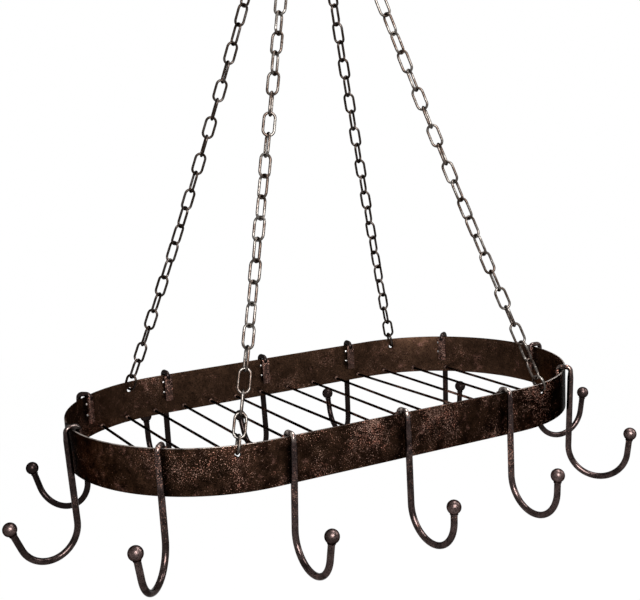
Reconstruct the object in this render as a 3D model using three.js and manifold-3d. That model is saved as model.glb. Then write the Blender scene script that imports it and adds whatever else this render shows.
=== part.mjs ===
// Hanging pot rack: an oval steel band with a wire grid, twelve sliding ball-tip hooks and
// four chains that meet at a ring under a ceiling hook. Millimetres, +Z up, the ceiling at z = 0,
// the rack's long side along X and its front along -Y.
import * as THREE from 'three';
import { mergeVertices } from 'three/addons/utils/BufferGeometryUtils.js';
import Module from 'manifold-3d';

// ---------------------------------------------------------------- sizes
// Fits
const SEAT_GAP = 0.3; // between a piece and what carries it
const CHAIN_WELD = 0.3; // how far neighbouring links of a chain share metal

// Oval band, a flat bar on edge
const BAND_LENGTH = 818;
const BAND_WIDTH = 438;
const BAND_HEIGHT = 65;
const BAND_WALL = 3;
const STRAIGHT_LENGTH = 404.4; // of each long side, between the rounded ends
const END_STEPS = 24;

// Chain holes in the band
const HOLE_X = 252.4;
const HOLE_DROP = 13; // from the rim to the hole's centre
const HOLE_DIAMETER = 8;

// Wire grid
const WIRE_DIAMETER = 4.2;
const WIRE_DROP = 57; // from the rim to the wires' centres
const WIRE_PITCH = 50;
const GRID_OFFSET = -8; // of the grid's middle wire from the band's middle
const WIRE_SIDES = 8;
// Where each wire's front and back end is welded, as shares of WIRE_PITCH beside its even place.
const WIRE_SHIFTS = [
  [0.06, -0.04],
  [0.11, -0.03],
  [0.17, -0.03],
  [0.13, -0.02],
  [0.04, 0],
  [0.14, -0.02],
  [0.03, -0.08],
  [0.27, -0.12],
  [0.03, -0.07],
  [0.07, -0.07],
  [0, -0.1],
  [0.3, -0.17],
  [0.04, -0.1],
  [0.05, -0.05],
  [-0.02, -0.09],
];

// Chains
const LINK_WIRE = 3.9;
const LINK_WIDTH = 19.2; // outside
const LINK_PITCH = 29.1;
const CHAIN_SAG = 7; // about how far a chain's middle hangs under a straight line
const LINK_SIDES = 4;
const END_LINK_WIRE = 4;
const END_LINK_INNER_LENGTH = 20;
const END_LINK_WIDTH = 22; // outside
const END_LINK_SIDES = 6;
const LOOP_STEPS = 8;
// footTurn is how far in degrees the end link is turned from square to the band, which the chain's
// first FOOT_TURN_LINKS links take up. sag is a share of CHAIN_SAG. A chain's links turn slowly to and fro about its line: twist is how
// far in degrees, wave and phase are in radians, from link to link and at the first link.
const FOOT_TURN_LINKS = 4;
const CHAINS = [
  { name: 'left_front', sideX: -1, sideY: -1, footTurn: 0, sag: 0.11, twist: 48, wave: 0.3, phase: 5.5 },
  { name: 'left_back', sideX: -1, sideY: 1, footTurn: 19, sag: 1.1, twist: 27, wave: 0.3, phase: 0.5 },
  { name: 'right_front', sideX: 1, sideY: -1, footTurn: 0, sag: 0.74, twist: 36, wave: 0.3, phase: 3.75 },
  { name: 'right_back', sideX: 1, sideY: 1, footTurn: 0, sag: 0.9, twist: 48, wave: 0.11, phase: 0.2 },
];

// Ring and the two triangular links under it
const RING_WIRE = 6;
const RING_RADIUS = 20; // to the wire's centre
const RING_STEPS = 20;
const TRIANGLE_WIRE = 5;
const TRIANGLE_TOP_RADIUS = 8.5; // to the wire's centre
const TRIANGLE_SPREAD = 18; // how much wider each lower corner is than the top
const TRIANGLE_HEIGHT = 57; // from the upper wire's centre to the bar's centre
const ROUND_SIDES = 8;

// Ceiling fitting
const APEX_HEIGHT = 865; // from the rim to the point where the chains' lines meet
const PLATE_DIAMETER = 76;
const PLATE_THICKNESS = 5;
const PLATE_EDGE = 1.5;
const SCREW_CIRCLE = 52;
const SCREW_HOLE = 5;
const CEILING_HOOK_WIRE = 7;
const CEILING_HOOK_RADIUS = 15; // to the wire's centre
const CEILING_HOOK_NECK = 14; // straight wire between the plate and the bend
const CEILING_HOOK_STEPS = 15;
const CEILING_HOOK_START = 126; // degrees round the bend, from its +Y side
const CEILING_HOOK_END = 396;

// Pot hooks
const ROD_DIAMETER = 9.6;
const ARCH_DIAMETER = 7.6; // of the rod where it is beaten thinner to go over the rim
const ARCH_OVERLAP = 6; // of the thinner rod into the shank's top
const ARCH_INNER = 10; // from the band's outer face in to the inner leg's centre
const ARCH_OUTER = 9.6; // from the band's outer face out to the outer leg's centre
const ARCH_CORNER = 6.5;
const SHANK_LENGTH = 131;
const BEND_RADIUS = 45;
const BEND_STEPS = 10;
const TIP_LENGTH = 32; // from the bend's end to the ball's centre
const SIDE_HOOK_SPACING = 180;
const TONGUE_WIDTH = 13;
const TONGUE_HEIGHT = 42;
const TONGUE_THICKNESS = 4;
const TONGUE_OVERLAP = 5; // of the rod's inner leg into the tongue's top
const PIN_DIAMETER = 3.4;
const PIN_LENGTH = 14.5;
const PIN_SHIFT = 2.25; // along the band, from the tongue's middle to the pin's
const PIN_SINK = 1; // into the tongue's face
const PIN_DROPS = [10, 27]; // from the rim to each cross pin
const BALL_DIAMETER = 20;
const BALL_STEPS = 6;
const BALL_SIDES = 10;
const SOCKET_DEPTH = 6;
const ROD_SIDES = 6;
const PIN_SIDES = 6;
// The hooks are bent by hand, so each stands a little differently. place is in SIDE_HOOK_SPACINGs
// along X on the long sides and in degrees round the rounded ends. turn is in degrees about the
// hook's clip, lean is the shank's in towards the band and tipLean the tip's outwards. shank, bend
// and tip are shares of SHANK_LENGTH, BEND_RADIUS and TIP_LENGTH.
const SIDE_HOOKS = [
  { name: 'front_left', side: -1, place: -0.996, turn: 2.1, shank: 0.969, lean: 4, bend: 0.993, tipLean: 12.1, tip: 1.082 },
  { name: 'front_middle', side: -1, place: -0.011, turn: 4.4, shank: 0.96, lean: -0.8, bend: 1.026, tipLean: 1.3, tip: 0.675 },
  { name: 'front_right', side: -1, place: 0.979, turn: 3.1, shank: 0.917, lean: -0.6, bend: 1.055, tipLean: 3, tip: 0.805 },
  { name: 'back_left', side: 1, place: -1.031, turn: 2.8, shank: 0.939, lean: 1.1, bend: 0.993, tipLean: 6.1, tip: 1.179 },
  { name: 'back_middle', side: 1, place: -0.035, turn: 3.3, shank: 0.972, lean: 3.7, bend: 0.992, tipLean: 22.1, tip: 0.879 },
  { name: 'back_right', side: 1, place: 0.921, turn: -6.2, shank: 0.995, lean: -1, bend: 0.994, tipLean: 13, tip: 0.877 },
];
const END_HOOKS = [
  { name: 'left_front', side: -1, place: -48.5, turn: 3.2, shank: 0.906, lean: 2.2, bend: 1.039, tipLean: 16.8, tip: 1.295 },
  { name: 'left_tip', side: -1, place: -2, turn: 6.4, shank: 0.987, lean: 2.5, bend: 0.958, tipLean: 23, tip: 1.121 },
  { name: 'left_back', side: -1, place: 48, turn: 1.8, shank: 1.015, lean: 1.4, bend: 0.976, tipLean: 19.4, tip: 1.02 },
  { name: 'right_front', side: 1, place: -50, turn: -4.3, shank: 0.921, lean: 2, bend: 1.015, tipLean: 7.3, tip: 1.037 },
  { name: 'right_tip', side: 1, place: -2.4, turn: -4.3, shank: 0.893, lean: 2.7, bend: 1.004, tipLean: 9.1, tip: 1.015 },
  { name: 'right_back', side: 1, place: 48.8, turn: -9.8, shank: 1.006, lean: 2.6, bend: 1.005, tipLean: 14.1, tip: 0.881 },
];

// ---------------------------------------------------------------- materials
const blackIron = new THREE.MeshStandardMaterial({ color: 0x2a1c16, roughness: 0.5, metalness: 0.7 });
const wireIron = new THREE.MeshStandardMaterial({ color: 0x261a15, roughness: 0.5, metalness: 0.7 });
const chainSteel = new THREE.MeshStandardMaterial({ color: 0x5a4c44, roughness: 0.32, metalness: 0.9 });
const ballIron = new THREE.MeshStandardMaterial({ color: 0x2c1d17, roughness: 0.3, metalness: 0.7 });
const fittingIron = new THREE.MeshStandardMaterial({ color: 0x2a1f1a, roughness: 0.45, metalness: 0.7 });

// ---------------------------------------------------------------- solids
const wasm = await Module();
wasm.setup();

const toRadians = THREE.MathUtils.degToRad;

function toSolid(geometry) {
  const bare = geometry.clone();
  bare.deleteAttribute('normal');
  bare.deleteAttribute('uv');
  const merged = mergeVertices(bare, 1e-4);
  return new wasm.Manifold(new wasm.Mesh({
    numProp: 3,
    vertProperties: new Float32Array(merged.attributes.position.array),
    triVerts: new Uint32Array(merged.index.array),
  }));
}

function toGeometry(solid) {
  const mesh = solid.getMesh();
  const geometry = new THREE.BufferGeometry();
  const positions = new Float32Array(mesh.numVert * 3);
  for (let i = 0; i < mesh.numVert; i += 1) {
    for (let k = 0; k < 3; k += 1) {
      positions[3 * i + k] = mesh.vertProperties[mesh.numProp * i + k];
    }
  }
  geometry.setAttribute('position', new THREE.BufferAttribute(positions, 3));
  geometry.setIndex(Array.from(mesh.triVerts));
  geometry.computeVertexNormals();
  return geometry;
}

function join(geometries) {
  const solids = geometries.map(toSolid);
  return toGeometry(solids.reduce((whole, next) => whole.add(next)));
}

function cut(geometry, cutters) {
  return toGeometry(cutters.map(toSolid).reduce((rest, next) => rest.subtract(next), toSolid(geometry)));
}

// A circle as a many-sided outline, with flats facing its X and Y axes.
function roundOutline(radius, sides) {
  const points = [];
  for (let i = 0; i < sides; i += 1) {
    const angle = ((i + 0.5) / sides) * 2 * Math.PI;
    points.push(new THREE.Vector2(radius * Math.cos(angle), radius * Math.sin(angle)));
  }
  return new THREE.Shape(points);
}

// A path that runs straight from each of its points to the next.
class PointPath extends THREE.Curve {
  constructor(points) {
    super();
    this.points = points;
  }

  getPoint(t) {
    const place = THREE.MathUtils.clamp(t, 0, 1) * (this.points.length - 1);
    const index = Math.min(Math.floor(place), this.points.length - 2);
    return this.points[index].clone().lerp(this.points[index + 1], place - index);
  }

  getPointAt(u) {
    return this.getPoint(u);
  }

  getTangentAt(u) {
    return this.getTangent(u);
  }
}

function rodAlong(points, radius, sides) {
  return new THREE.ExtrudeGeometry(roundOutline(radius, sides), {
    steps: points.length - 1,
    extrudePath: new PointPath(points),
  });
}

// An oblong wire loop in the XY plane, long along Y. Its wire's centre line runs halfWidth from
// the middle at the sides and halfLength at the ends. spread widens its -Y end.
function wireLoop(halfWidth, halfLength, wire, sides, spread = 0) {
  const steps = LOOP_STEPS;
  const corner = halfWidth / Math.cos(Math.PI / steps);
  const loop = new THREE.TorusGeometry(corner, wire / 2, sides, steps);
  loop.rotateZ(Math.PI / steps);
  const position = loop.attributes.position;
  for (let i = 0; i < position.count; i += 1) {
    const side = Math.sign(position.getX(i));
    const end = Math.sign(position.getY(i));
    position.setY(i, position.getY(i) + end * (halfLength - halfWidth));
    if (end < 0) {
      position.setX(i, position.getX(i) + side * spread);
    }
  }
  return loop;
}

// Half of a loop's wire, measured in the loop's plane at the middle of a straight run.
function loopHalfWire(wire) {
  return (wire / 2) * Math.cos(Math.PI / LOOP_STEPS);
}

// The turn that takes a loop's +Y to `along` and its +X as near to `across` as it can.
function loopFrame(along, across) {
  const y = along.clone().normalize();
  const z = new THREE.Vector3().crossVectors(across, y).normalize();
  const x = new THREE.Vector3().crossVectors(y, z);
  return new THREE.Matrix4().makeBasis(x, y, z);
}

function rod(diameter, length, sides) {
  return new THREE.CylinderGeometry(diameter / 2, diameter / 2, length, sides);
}

const rack = new THREE.Group();

function addPiece(name, geometry, material, parent = rack) {
  const piece = new THREE.Mesh(geometry, material);
  piece.name = name;
  parent.add(piece);
  return piece;
}

// ---------------------------------------------------------------- heights below the ceiling
const NECK_END_Z = -PLATE_THICKNESS - CEILING_HOOK_NECK;
const HOOK_CENTRE_Z = NECK_END_Z - 1.5 * CEILING_HOOK_RADIUS;
const SADDLE_Z = HOOK_CENTRE_Z - CEILING_HOOK_RADIUS;
const RING_TOP_Z = SADDLE_Z + CEILING_HOOK_WIRE / 2 + SEAT_GAP + RING_WIRE / 2;
const APEX_Z = RING_TOP_Z - RING_RADIUS;
const RIM_Z = APEX_Z - APEX_HEIGHT;
const APEX = new THREE.Vector3(0, 0, APEX_Z);

// ---------------------------------------------------------------- band
const HALF_STRAIGHT = STRAIGHT_LENGTH / 2;
const END_RADIUS_X = BAND_LENGTH / 2 - HALF_STRAIGHT;
const END_RADIUS_Y = BAND_WIDTH / 2;

// The oval at a distance inside the band's outer face, as points round its outline.
function ovalPoints(inset) {
  const points = [];
  for (const end of [1, -1]) {
    for (let i = 0; i <= END_STEPS; i += 1) {
      const angle = end * (-Math.PI / 2 + (Math.PI * i) / END_STEPS);
      const x = HALF_STRAIGHT + (END_RADIUS_X - inset) * Math.cos(angle);
      const y = (END_RADIUS_Y - inset) * Math.sin(angle);
      points.push(new THREE.Vector2(end * x, y));
    }
  }
  return points;
}

// How far the oval reaches along Y at a place along X.
function ovalHalfWidth(x, inset) {
  const points = ovalPoints(inset).filter((point) => point.x >= 0 && point.y >= 0);
  const reach = Math.abs(x);
  const beyond = points.filter((point) => point.x >= reach).pop();
  const before = points.find((point) => point.x < reach);
  if (!before) {
    return END_RADIUS_Y - inset;
  }
  const share = (reach - before.x) / (beyond.x - before.x);
  return before.y + (beyond.y - before.y) * share;
}

function bandGeometry() {
  const outline = new THREE.Shape(ovalPoints(0));
  outline.holes.push(new THREE.Path(ovalPoints(BAND_WALL)));
  const strip = new THREE.ExtrudeGeometry(outline, { depth: BAND_HEIGHT, bevelEnabled: false });
  const drills = [];
  for (const x of [-HOLE_X, HOLE_X]) {
    const drill = rod(HOLE_DIAMETER, 2 * BAND_WIDTH, 12);
    drill.translate(x, 0, BAND_HEIGHT - HOLE_DROP);
    drills.push(drill);
  }
  return cut(strip, drills);
}

const band = addPiece('band', bandGeometry(), blackIron);
band.position.z = RIM_Z - BAND_HEIGHT;

// ---------------------------------------------------------------- wire grid
function wireReach(x) {
  return ovalHalfWidth(Math.abs(x) + WIRE_DIAMETER / 2, BAND_WALL) - 1.3 * SEAT_GAP;
}

WIRE_SHIFTS.forEach(([frontShift, backShift], i) => {
  const x = GRID_OFFSET + WIRE_PITCH * (i - (WIRE_SHIFTS.length - 1) / 2);
  const frontX = x + frontShift * WIRE_PITCH;
  const backX = x + backShift * WIRE_PITCH;
  const front = new THREE.Vector3(frontX, -wireReach(frontX), RIM_Z - WIRE_DROP);
  const back = new THREE.Vector3(backX, wireReach(backX), RIM_Z - WIRE_DROP);
  const name = `grid_wire_${String(i + 1).padStart(2, '0')}`;
  const wire = addPiece(name, rod(WIRE_DIAMETER, front.distanceTo(back), WIRE_SIDES), wireIron);
  wire.position.lerpVectors(front, back, 0.5);
  wire.rotation.z = Math.atan2(front.x - back.x, back.y - front.y);
});

// ---------------------------------------------------------------- ceiling plate, hook and ring
function plateGeometry() {
  const radius = PLATE_DIAMETER / 2;
  const disc = new THREE.LatheGeometry([
    new THREE.Vector2(0, 0),
    new THREE.Vector2(radius - PLATE_EDGE, 0),
    new THREE.Vector2(radius, PLATE_EDGE),
    new THREE.Vector2(radius, PLATE_THICKNESS),
    new THREE.Vector2(0, PLATE_THICKNESS),
  ], 32);
  const drills = [-1, 1].map((side) => {
    const drill = rod(SCREW_HOLE, 3 * PLATE_THICKNESS, 12);
    drill.translate((side * SCREW_CIRCLE) / 2, PLATE_THICKNESS / 2, 0);
    return drill;
  });
  return cut(disc, drills);
}

const plate = addPiece('ceiling_plate', plateGeometry(), fittingIron);
plate.rotation.x = Math.PI / 2;
plate.position.z = -PLATE_THICKNESS;

// The wire comes down the middle, swings out to -Y and bends round under the middle to +Y.
function ceilingHookPoints() {
  const points = [
    new THREE.Vector3(0, 0, -PLATE_THICKNESS - SEAT_GAP),
    new THREE.Vector3(0, 0, NECK_END_Z),
  ];
  const sweep = CEILING_HOOK_END - CEILING_HOOK_START;
  for (let i = 0; i <= CEILING_HOOK_STEPS; i += 1) {
    const angle = toRadians(CEILING_HOOK_START + (sweep * i) / CEILING_HOOK_STEPS);
    points.push(new THREE.Vector3(
      0,
      CEILING_HOOK_RADIUS * Math.cos(angle),
      HOOK_CENTRE_Z + CEILING_HOOK_RADIUS * Math.sin(angle),
    ));
  }
  return points;
}

addPiece('ceiling_hook', rodAlong(ceilingHookPoints(), CEILING_HOOK_WIRE / 2, ROUND_SIDES), fittingIron);

const ring = addPiece(
  'gathering_ring',
  new THREE.TorusGeometry(RING_RADIUS, RING_WIRE / 2, ROUND_SIDES, RING_STEPS),
  fittingIron,
);
ring.rotation.x = Math.PI / 2;
ring.position.copy(APEX);

// ---------------------------------------------------------------- chains
// Each chain's lowest point is the middle of the end link's wire where it passes the band's hole.
const HOLE_TOP_DROP = HOLE_DROP - HOLE_DIAMETER / 2;
const HOLE_LEAN_ROOM = 0.5;
const END_LINK_DROP = HOLE_TOP_DROP + END_LINK_WIRE / 2 + SEAT_GAP + HOLE_LEAN_ROOM;

function chainFoot(sideX, sideY) {
  const y = ovalHalfWidth(HOLE_X, BAND_WALL / 2);
  return new THREE.Vector3(sideX * HOLE_X, sideY * y, RIM_Z - END_LINK_DROP);
}

// The triangular link hangs from the ring in the plane of the two chains of its side.
const foot = chainFoot(1, 1);
const SIDE_ANGLE = Math.atan2(foot.x, APEX_Z - foot.z);
const TRIANGLE_TOP = RING_RADIUS - RING_WIRE / 2 - SEAT_GAP - TRIANGLE_WIRE / 2;
const TRIANGLE_BAR = TRIANGLE_TOP + TRIANGLE_HEIGHT;

for (const [side, sideName] of [[1, 'right'], [-1, 'left']]) {
  const down = new THREE.Vector3(side * Math.sin(SIDE_ANGLE), 0, -Math.cos(SIDE_ANGLE));
  const geometry = wireLoop(
    TRIANGLE_TOP_RADIUS,
    TRIANGLE_HEIGHT / 2,
    TRIANGLE_WIRE,
    ROUND_SIDES,
    TRIANGLE_SPREAD,
  );
  geometry.applyMatrix4(loopFrame(down.clone().negate(), new THREE.Vector3(0, 1, 0)));
  const link = addPiece(`triangle_link_${sideName}`, geometry, fittingIron);
  link.position.copy(APEX).addScaledVector(down, TRIANGLE_TOP + TRIANGLE_HEIGHT / 2);
}

// The first link stands square to the end link, which is turned by startTurn degrees.
function chainGeometry(chain, start, along, reach, startTurn) {
  const halfWire = loopHalfWire(LINK_WIRE);
  let count = Math.round(reach / LINK_PITCH);
  count += 1 - (count % 2);
  const halfWidth = (LINK_WIDTH - LINK_WIRE) / 2;
  const halfLength = (reach + (count - 1) * (2 * halfWire - CHAIN_WELD)) / (2 * count);
  const pitch = 2 * halfLength - 2 * halfWire + CHAIN_WELD;
  const hang = new THREE.Vector3(0, 0, -1).addScaledVector(along, along.z).normalize();
  const sag = chain.sag * CHAIN_SAG;
  const links = [];
  for (let i = 0; i < count; i += 1) {
    const link = wireLoop(halfWidth, halfLength, LINK_WIRE, LINK_SIDES);
    const freedom = Math.min(1, i / 2, (count - 1 - i) / 2);
    const twist = freedom * chain.twist * Math.sin(chain.wave * i + chain.phase);
    const foot = chain.footTurn * Math.max(0, 1 - i / FOOT_TURN_LINKS);
    const square = startTurn * (1 - i / (count - 1)) + foot + 90 * (i % 2);
    const share = (halfLength + i * pitch) / reach;
    const slope = (4 * sag * (1 - 2 * share)) / reach;
    const middle = start.clone().addScaledVector(along, share * reach);
    middle.addScaledVector(hang, 4 * sag * share * (1 - share));
    link.rotateY(toRadians(square + twist));
    link.applyMatrix4(loopFrame(along.clone().addScaledVector(hang, slope), new THREE.Vector3(1, 0, 0)));
    link.translate(middle.x, middle.y, middle.z);
    links.push(link);
  }
  return join(links);
}

const VERTICAL = new THREE.Vector3(0, 0, 1);

for (const chain of CHAINS) {
  const bottom = chainFoot(chain.sideX, chain.sideY);
  const along = APEX.clone().sub(bottom).normalize();
  // Square to the band's wall
  const outward = new THREE.Vector3(
    (chain.sideX * Math.max(0, HOLE_X - HALF_STRAIGHT)) / END_RADIUS_X ** 2,
    bottom.y / END_RADIUS_Y ** 2,
    0,
  ).normalize();
  const endHalfLength = (END_LINK_INNER_LENGTH + END_LINK_WIRE) / 2;
  const endLink = wireLoop(
    (END_LINK_WIDTH - END_LINK_WIRE) / 2,
    endHalfLength,
    END_LINK_WIRE,
    END_LINK_SIDES,
  );
  const endLinkAcross = outward.clone().applyAxisAngle(VERTICAL, toRadians(chain.footTurn));
  endLink.applyMatrix4(loopFrame(along, endLinkAcross));
  const piece = addPiece(`end_link_${chain.name}`, endLink, chainSteel);
  piece.position.copy(bottom).addScaledVector(along, endHalfLength);

  const seat = loopHalfWire(LINK_WIRE) + SEAT_GAP;
  const low = bottom.clone().addScaledVector(
    along,
    2 * endHalfLength - loopHalfWire(END_LINK_WIRE) - seat,
  );
  const barDistance = TRIANGLE_BAR / (along.z / Math.cos(SIDE_ANGLE));
  const high = APEX.clone().addScaledVector(along, -barDistance + TRIANGLE_WIRE / 2 + seat);
  const startTurn = -chain.sideX * chain.sideY * THREE.MathUtils.radToDeg(Math.asin(Math.abs(outward.x)));
  const links = chainGeometry(chain, low, along, high.distanceTo(low), startTurn);
  addPiece(`chain_${chain.name}`, links, chainSteel);
}

// ---------------------------------------------------------------- pot hooks
// Drawn in the XZ plane: X is the distance out from the band's outer face, Z is 0 at the rim.
const ROD_RADIUS = ROD_DIAMETER / 2;
const ARCH_RADIUS = ARCH_DIAMETER / 2;
const ARCH_Z = SEAT_GAP + ARCH_RADIUS;

function arcPoints(centreX, centreZ, radius, from, to, steps) {
  const points = [];
  for (let i = 0; i <= steps; i += 1) {
    const angle = from + ((to - from) * i) / steps;
    const x = centreX + radius * Math.cos(angle);
    points.push(new THREE.Vector3(x, 0, centreZ + radius * Math.sin(angle)));
  }
  return points;
}

const socketFloor = SOCKET_DEPTH - BALL_DIAMETER / 2;

// From the tongue over the rim and into the shank's top
function archPath(hook) {
  const quarter = Math.PI / 2;
  const cornerZ = ARCH_Z - ARCH_CORNER;
  const legFoot = new THREE.Vector3(-ARCH_INNER, 0, -TONGUE_OVERLAP);
  const inner = arcPoints(ARCH_CORNER - ARCH_INNER, cornerZ, ARCH_CORNER, 2 * quarter, quarter, 3);
  const outer = arcPoints(ARCH_OUTER - ARCH_CORNER, cornerZ, ARCH_CORNER, quarter, 0, 3);
  const lean = toRadians(hook.lean);
  const end = new THREE.Vector3(-Math.sin(lean), 0, -Math.cos(lean)).multiplyScalar(ARCH_OVERLAP);
  end.add(outer[outer.length - 1]);
  return [legFoot, ...inner, ...outer, end];
}

// Down the shank, round the bend and up the tip
function shankPath(hook, tipAlong) {
  const lean = toRadians(hook.lean);
  const shankLength = SHANK_LENGTH * hook.shank;
  const radius = BEND_RADIUS * hook.bend;
  const top = new THREE.Vector3(ARCH_OUTER, 0, ARCH_Z - ARCH_CORNER);
  const bendX = top.x - shankLength * Math.sin(lean) + radius * Math.cos(lean);
  const bendZ = top.z - shankLength * Math.cos(lean) - radius * Math.sin(lean);
  const bendEnd = 2 * Math.PI - toRadians(hook.tipLean);
  const bend = arcPoints(bendX, bendZ, radius, Math.PI - lean, bendEnd, BEND_STEPS);
  const tip = bend[bend.length - 1].clone().addScaledVector(tipAlong, TIP_LENGTH * hook.tip);
  return [top, ...bend, tip];
}

function hookGeometry(arch, shank) {
  const tongue = new THREE.BoxGeometry(TONGUE_THICKNESS, TONGUE_WIDTH, TONGUE_HEIGHT);
  tongue.translate(-ARCH_INNER, 0, -TONGUE_HEIGHT / 2);
  const pinX = (TONGUE_THICKNESS + PIN_DIAMETER) / 2 - ARCH_INNER - PIN_SINK;
  const pins = PIN_DROPS.map((drop) => {
    const pin = rod(PIN_DIAMETER, PIN_LENGTH, PIN_SIDES);
    pin.translate(pinX, PIN_SHIFT, -drop);
    return pin;
  });
  const rods = [rodAlong(arch, ARCH_RADIUS, ROD_SIDES), rodAlong(shank, ROD_RADIUS, ROD_SIDES)];
  return join([...rods, tongue, ...pins]);
}

function ballGeometry(tipAlong) {
  const radius = BALL_DIAMETER / 2;
  const bore = (ROD_RADIUS + SEAT_GAP) / Math.cos(Math.PI / BALL_SIDES);
  const mouth = Math.asin(bore / radius);
  const profile = [
    new THREE.Vector2(0, socketFloor),
    new THREE.Vector2(bore, socketFloor),
  ];
  for (let i = 0; i <= BALL_STEPS; i += 1) {
    const angle = mouth + ((Math.PI - mouth) * i) / BALL_STEPS;
    const x = i === BALL_STEPS ? 0 : radius * Math.sin(angle);
    profile.push(new THREE.Vector2(x, -radius * Math.cos(angle)));
  }
  const ball = new THREE.LatheGeometry(profile, BALL_SIDES);
  ball.applyMatrix4(loopFrame(tipAlong, new THREE.Vector3(0, 1, 0)));
  return ball;
}

function addHook(hook, x, y, facing) {
  const holder = new THREE.Group();
  holder.position.set(x, y, RIM_Z);
  holder.rotation.z = facing + toRadians(hook.turn);
  rack.add(holder);
  const tipLean = toRadians(hook.tipLean);
  const tipAlong = new THREE.Vector3(Math.sin(tipLean), 0, Math.cos(tipLean));
  const shank = shankPath(hook, tipAlong);
  const ballCentre = shank.pop();
  shank.push(ballCentre.clone().addScaledVector(tipAlong, socketFloor - SEAT_GAP));
  addPiece(`hook_${hook.name}`, hookGeometry(archPath(hook), shank), blackIron, holder);
  const ball = addPiece(`hook_ball_${hook.name}`, ballGeometry(tipAlong), ballIron, holder);
  ball.position.copy(ballCentre);
}

for (const hook of SIDE_HOOKS) {
  const x = hook.place * SIDE_HOOK_SPACING;
  addHook(hook, x, (hook.side * BAND_WIDTH) / 2, (hook.side * Math.PI) / 2);
}

// Round the ends each hook stands square to the oval, but for its own turn.
for (const hook of END_HOOKS) {
  const angle = toRadians(hook.place);
  const x = HALF_STRAIGHT + END_RADIUS_X * Math.cos(angle);
  const y = END_RADIUS_Y * Math.sin(angle);
  const facing = Math.atan2(END_RADIUS_X * Math.sin(angle), END_RADIUS_Y * Math.cos(angle));
  addHook(hook, hook.side * x, y, hook.side > 0 ? facing : Math.PI - facing);
}

export default rack;
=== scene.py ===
"""Dresses the hanging pot rack: smooth bars and links, coats and worn steel, a pale studio."""

import math
from functools import partial

import bmesh
import bpy
from bmesh.types import BMEdge, BMVert
from bpy.props import FloatProperty, FloatVectorProperty, IntProperty, PointerProperty
from mathutils import Matrix, Vector


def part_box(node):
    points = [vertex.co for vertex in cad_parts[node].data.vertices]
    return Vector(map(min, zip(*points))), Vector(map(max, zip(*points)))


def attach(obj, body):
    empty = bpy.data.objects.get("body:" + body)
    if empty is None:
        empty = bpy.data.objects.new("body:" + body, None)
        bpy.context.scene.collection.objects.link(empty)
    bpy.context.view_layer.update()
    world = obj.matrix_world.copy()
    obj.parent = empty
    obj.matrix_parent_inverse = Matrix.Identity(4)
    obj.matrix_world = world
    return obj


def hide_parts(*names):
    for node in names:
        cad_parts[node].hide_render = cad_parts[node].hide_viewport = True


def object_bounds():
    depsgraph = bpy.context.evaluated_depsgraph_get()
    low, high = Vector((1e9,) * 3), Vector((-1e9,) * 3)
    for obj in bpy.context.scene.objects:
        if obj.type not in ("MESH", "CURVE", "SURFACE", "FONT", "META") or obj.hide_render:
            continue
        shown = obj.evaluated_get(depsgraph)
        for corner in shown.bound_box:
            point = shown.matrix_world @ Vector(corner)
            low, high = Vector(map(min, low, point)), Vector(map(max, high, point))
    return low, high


bl_info = {
    "name": "Hanging Pot Rack",
    "version": (1, 0, 0),
    "blender": (4, 5, 0),
    "location": "3D View > Sidebar > Pot Rack",
    "description": "Builds an oval hanging pot rack with its hooks, chains and grid",
    "category": "Add Mesh",
}

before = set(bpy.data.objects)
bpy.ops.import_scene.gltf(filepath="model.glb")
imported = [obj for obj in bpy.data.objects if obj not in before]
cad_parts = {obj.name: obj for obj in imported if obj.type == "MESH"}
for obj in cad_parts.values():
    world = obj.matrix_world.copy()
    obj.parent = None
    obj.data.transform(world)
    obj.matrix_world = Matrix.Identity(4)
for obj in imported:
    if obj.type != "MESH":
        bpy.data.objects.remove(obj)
CAD_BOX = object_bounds()
MM = 0.001
RIM_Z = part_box("band")[1][2]
ALONG_X, ALONG_Y, UP, DOWN = (1, 0, 0), (0, 1, 0), (0, 0, 1), (0, 0, -1)
QUARTER, HALF, FULL = math.pi / 2, math.pi, 2 * math.pi
BLACK, WHITE = (0, 0, 0, 1), (1, 1, 1, 1)


def srgb(text):
    """Turns a hex colour as it looks on a screen into linear values."""
    def one(value):
        return value / 12.92 if value <= 0.04045 else ((value + 0.055) / 1.055) ** 2.4
    return tuple(one(int(text[i:i + 2], 16) / 255) for i in (1, 3, 5)) + (1.0,)


# ---------------------------------------------------------------- what a user would change
def length(name, about, metres):
    return FloatProperty(name=name, description=about, default=metres, unit="LENGTH")


def colour(name, about, text):
    return FloatVectorProperty(name=name, description=about, default=srgb(text), subtype="COLOR",
                               size=4, min=0, max=1)


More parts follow.
